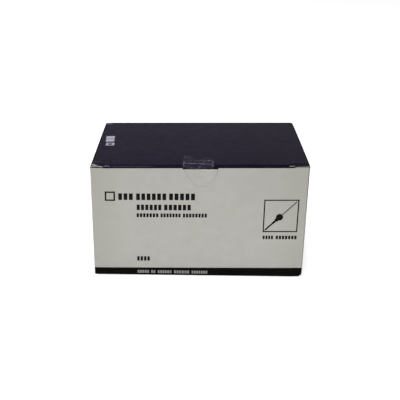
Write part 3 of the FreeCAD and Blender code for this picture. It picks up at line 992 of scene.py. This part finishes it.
# Regions of the raw board, with the shares by which their colours come in
CORE_STRETCH = (0.35, 0.35, 3.0)
CORE_LAYERS = (0.35, 0.7)
CORE_BUMP = (0.8, 0.05 * MM)
CORE_ROUGH = 0.9
CORE_SHEEN = 0.2
IN_GAP = ((Z, 91.9, 91.8), (X, -72.3, -72.6), (Y, FRONT_AT + 0.55, FRONT_AT + 0.65))
LEFT_ARCH = ((X, -73.4, -72.4), (X, -66.0, -67.0), (Z, 92.35, 92.4))
RIGHT_ARCH = ((Z, 92.35, 92.4), (X, 64.7, 65.7))
RIGHT_ARCH_SHARE = 0.12
RIGHT_ARCH_END = ((X, 69.4, 72.8), (Z, 91.2, 91.3))
RIGHT_ARCH_END_SHARE = 0.65
PANEL_TOP = ((Y, FRONT_AT + 0.75, FRONT_AT + 0.66), (Z, 89.9, 90.0))
PANEL_TOP_SHADED = ((Z, 92.36, 92.34), (X, -74.5, -72.5))
# The perforation's walls: painted light to lift them out of their shade, and painted shade near their
# top ends
IN_TAB = ((Z, 89.6, 89.2), (Y, FRONT_AT + 0.8, FRONT_AT + 0.7))
TAB_SHADED = ((Z, 83.0, 88.5),)


def raw_board():
    """The grey core at the cut edges, in thin layers of fibre, with painted shade inside the gaps, over
    the right arch, along the panel's top edge under the lid and at the perforation's top ends, darker at
    the left arch and the right slit's end, and the perforation's walls painted pale as painted light
    against their shade.
    """
    finish = Finish("raw_board")
    vector, parts = finish.place()
    fibres = finish.grain(vector, *CORE_FIBRES, stretch=CORE_STRETCH)
    colour = finish.mix(finish.step(fibres, *CORE_LAYERS), BOARD_CORE, BOARD_CORE_SHADE)
    colour = finish.mix(finish.region(parts, IN_GAP), colour, GAP_SHADE)
    # The raw edge darker and lilac-grey over the left arch and at the right slit's end
    right_end = finish.product(finish.region(parts, RIGHT_ARCH_END), RIGHT_ARCH_END_SHARE)
    darker_core = finish.most([finish.region(parts, LEFT_ARCH), right_end])
    colour = finish.mix(darker_core, colour, BOARD_CORE_DARKER)
    right_arch = finish.product(finish.region(parts, RIGHT_ARCH), RIGHT_ARCH_SHARE)
    colour = finish.mix(right_arch, colour, GAP_SHADE)
    top = finish.product(finish.region(parts, PANEL_TOP), finish.region(parts, PANEL_TOP_SHADED))
    colour = finish.mix(top, colour, EDGE_SHADE)
    wall = finish.mix(finish.region(parts, TAB_SHADED), SLOT_WALL_PAINTED_LIGHT, GAP_SHADE)
    colour = finish.mix(finish.region(parts, IN_TAB), colour, wall)
    finish.shader.inputs["Roughness"].default_value = CORE_ROUGH
    finish.shader.inputs["Specular IOR Level"].default_value = CORE_SHEEN
    finish.bump(fibres, *CORE_BUMP)
    return finish.painted(colour)


# How much of the tape is seen: along its side edges, more so on the lid before the bend, in its creases,
# in patches along the bend, and in a faint haze all over.
# The pale film at the side edges and in the creases is partly the film's haze and partly painted
# highlight, standing for the glints that they catch
TAPE_EDGE = (0.9, 0.4)
TAPE_BY_BEND = ((Y, FRONT_AT + 13, FRONT_AT + 7), (Z, LID_AT - 1.6, LID_AT - 0.5))
EDGE_SEEN = 0.008
EDGE_SEEN_BY_BEND = 0.05
CREASE_RANGE = (0.1, 0.9)
CREASE_SEEN = 0.115
BEND_AT = LID_AT - 1.5
BEND_FADE = (0.4, 0.1)
BEND_SEEN = 0.004
BEND_PATCHES_SEEN = 0.02
FILM_SEEN = 0.006
HAZE_SEEN = 0.012
FILM_ROUGH = 0.18
HAZE_ROUGH = 0.15
FILM_SHEEN = 0.5
FILM_BUMP = (0.3, 0.03 * MM)


def clear_film():
    """Clear tape: nearly all is seen through it, less so at its side edges and creases, whose pale film
    is partly painted highlight.
    """
    finish = Finish("clear_film")
    vector, parts = finish.place()
    x, _, z = parts
    from_left = finish.math("SUBTRACT", x, TAPE_LEFT / MM)
    from_right = finish.math("SUBTRACT", TAPE_RIGHT / MM, x)
    edge = finish.step(finish.math("MINIMUM", from_left, from_right), *TAPE_EDGE)
    by_bend = finish.region(parts, TAPE_BY_BEND)
    edge = finish.product(edge, finish.math("MULTIPLY_ADD", by_bend, EDGE_SEEN_BY_BEND, EDGE_SEEN))
    crease = finish.node("ShaderNodeAttribute", attribute_name="raised").outputs["Fac"]
    crease = finish.product(finish.step(crease, *CREASE_RANGE), CREASE_SEEN)
    bend = finish.step(finish.away(z, BEND_AT), *BEND_FADE)
    patches = finish.specks(vector, *BEND_PATCHES)
    bend = finish.product(bend, finish.math("MULTIPLY_ADD", patches, BEND_PATCHES_SEEN, BEND_SEEN))
    haze = finish.specks(vector, *FILM_HAZE)
    film = finish.math("MULTIPLY_ADD", haze, HAZE_SEEN, FILM_SEEN)
    finish.put(finish.shader.inputs["Alpha"], finish.most([edge, crease, bend, film]))
    rough = finish.math("MULTIPLY_ADD", haze, HAZE_ROUGH, FILM_ROUGH)
    finish.put(finish.shader.inputs["Roughness"], rough)
    finish.shader.inputs["Specular IOR Level"].default_value = FILM_SHEEN
    finish.bump(finish.grain(vector, *FILM_RIPPLE), *FILM_BUMP)
    return finish.painted(CLEAR_FILM)


# Room and light

FLOOR_HALF = 6.0
FLOOR_ALBEDO = 0.8
FLOOR_LIFT = 0.42
SKY_RISE = (0.35, 0.9)
SKY_LOW = 0.1
SKY_HIGH = 0.75
# Each lamp's name, place, size and power
LAMPS = (
    ("key", (-0.15, -2.1, 0.8), 1.2, 34),
    ("top", (-0.3, -0.1, 1.9), 1.4, 20),
)
LAMP_TARGET = (0, 0, 0.05)


def add_floor():
    """A pale floor whose own colour shows white, and which keeps the carton's shadow."""
    mesh = bpy.data.meshes.new("floor")
    corners = [(-1, -1), (1, -1), (1, 1), (-1, 1)]
    mesh.from_pydata([(x * FLOOR_HALF, y * FLOOR_HALF, 0) for x, y in corners], [], [(0, 1, 2, 3)])
    floor = bpy.data.objects.new("floor", mesh)
    bpy.context.scene.collection.objects.link(floor)
    finish = Finish("pale_floor")
    finish.shader.inputs["Roughness"].default_value = 1.0
    finish.shader.inputs["Specular IOR Level"].default_value = 0.0
    finish.shader.inputs["Emission Color"].default_value = WHITE
    path = finish.node("ShaderNodeLightPath")
    seen = finish.most([path.outputs[f"Is {kind} Ray"] for kind in ("Camera", "Glossy", "Transmission")])
    finish.put(finish.shader.inputs["Emission Strength"], finish.product(seen, FLOOR_LIFT))
    mesh.materials.append(finish.painted((FLOOR_ALBEDO, FLOOR_ALBEDO, FLOOR_ALBEDO, 1)))


def add_sky():
    """Even light from all round, softer near the horizon. The camera, mirrors and glass
    see it white."""
    world = bpy.data.worlds.new("room")
    bpy.context.scene.world = world
    world.use_nodes = True
    nodes, links = world.node_tree.nodes, world.node_tree.links
    room = nodes["Background"]
    split = nodes.new("ShaderNodeSeparateXYZ")
    links.new(nodes.new("ShaderNodeTexCoord").outputs["Generated"], split.inputs[0])
    rise = nodes.new("ShaderNodeMapRange")
    rise.interpolation_type = "SMOOTHSTEP"
    links.new(split.outputs["Z"], rise.inputs["Value"])
    rise.inputs["From Min"].default_value, rise.inputs["From Max"].default_value = SKY_RISE
    rise.inputs["To Min"].default_value = SKY_LOW
    rise.inputs["To Max"].default_value = SKY_HIGH
    links.new(rise.outputs["Result"], room.inputs["Strength"])
    room.inputs["Color"].default_value = WHITE
    white = nodes.new("ShaderNodeBackground")
    white.inputs["Color"].default_value = WHITE
    white.inputs["Strength"].default_value = 1.0
    path = nodes.new("ShaderNodeLightPath")
    seen = path.outputs["Is Camera Ray"]
    for kind in ("Glossy", "Transmission"):
        either = nodes.new("ShaderNodeMath")
        either.operation = "MAXIMUM"
        links.new(seen, either.inputs[0])
        links.new(path.outputs[f"Is {kind} Ray"], either.inputs[1])
        seen = either.outputs[0]
    mix = nodes.new("ShaderNodeMixShader")
    links.new(seen, mix.inputs[0])
    links.new(room.outputs[0], mix.inputs[1])
    links.new(white.outputs[0], mix.inputs[2])
    links.new(mix.outputs[0], nodes["World Output"].inputs["Surface"])


def add_lamp(name, place, size, power):
    """A square soft lamp that points at the carton."""
    data = bpy.data.lights.new(name, "AREA")
    data.shape = "SQUARE"
    data.size = size
    data.energy = power
    lamp = bpy.data.objects.new(name, data)
    lamp.location = place
    lamp.rotation_mode = "QUATERNION"
    lamp.rotation_quaternion = (Vector(LAMP_TARGET) - Vector(place)).to_track_quat("-Z", "Y")
    bpy.context.scene.collection.objects.link(lamp)


# Camera, fitted to the corners of the carton in the photograph

IMAGE_SIZE = 400
FOCAL_PIXELS = 744.1
NEAREST = 0.01
CAMERA_PLACE = Vector((-8.4, -577.5, 284.5)) * MM
CAMERA_YAW = math.radians(0.932)
CAMERA_PITCH = math.radians(22.783)
CAMERA_ROLL = math.radians(-1.18)


def add_camera():
    """The photograph's view: a little above the carton and almost square to its front."""
    forward = Vector((
        math.sin(CAMERA_YAW) * math.cos(CAMERA_PITCH),
        math.cos(CAMERA_YAW) * math.cos(CAMERA_PITCH),
        -math.sin(CAMERA_PITCH),
    ))
    level = Vector((math.cos(CAMERA_YAW), -math.sin(CAMERA_YAW), 0))
    down = forward.cross(level)
    right = level * math.cos(CAMERA_ROLL) + down * math.sin(CAMERA_ROLL)
    up = level * math.sin(CAMERA_ROLL) - down * math.cos(CAMERA_ROLL)
    data = bpy.data.cameras.new("camera")
    data.lens = FOCAL_PIXELS * data.sensor_width / IMAGE_SIZE
    data.clip_start = NEAREST
    camera = bpy.data.objects.new("camera", data)
    axes = Matrix((right, up, -forward)).transposed()
    camera.matrix_world = Matrix.Translation(CAMERA_PLACE) @ axes.to_4x4()
    bpy.context.scene.collection.objects.link(camera)
    bpy.context.scene.camera = camera


add_camera()
add_floor()
add_sky()
for lamp_facts in LAMPS:
    add_lamp(*lamp_facts)
bpy.context.scene.view_settings.view_transform = "Standard"

carton = make_carton()
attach(carton, "root")
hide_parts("carton")

tape = make_tape()
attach(tape, "root")
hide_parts("seal_tape")
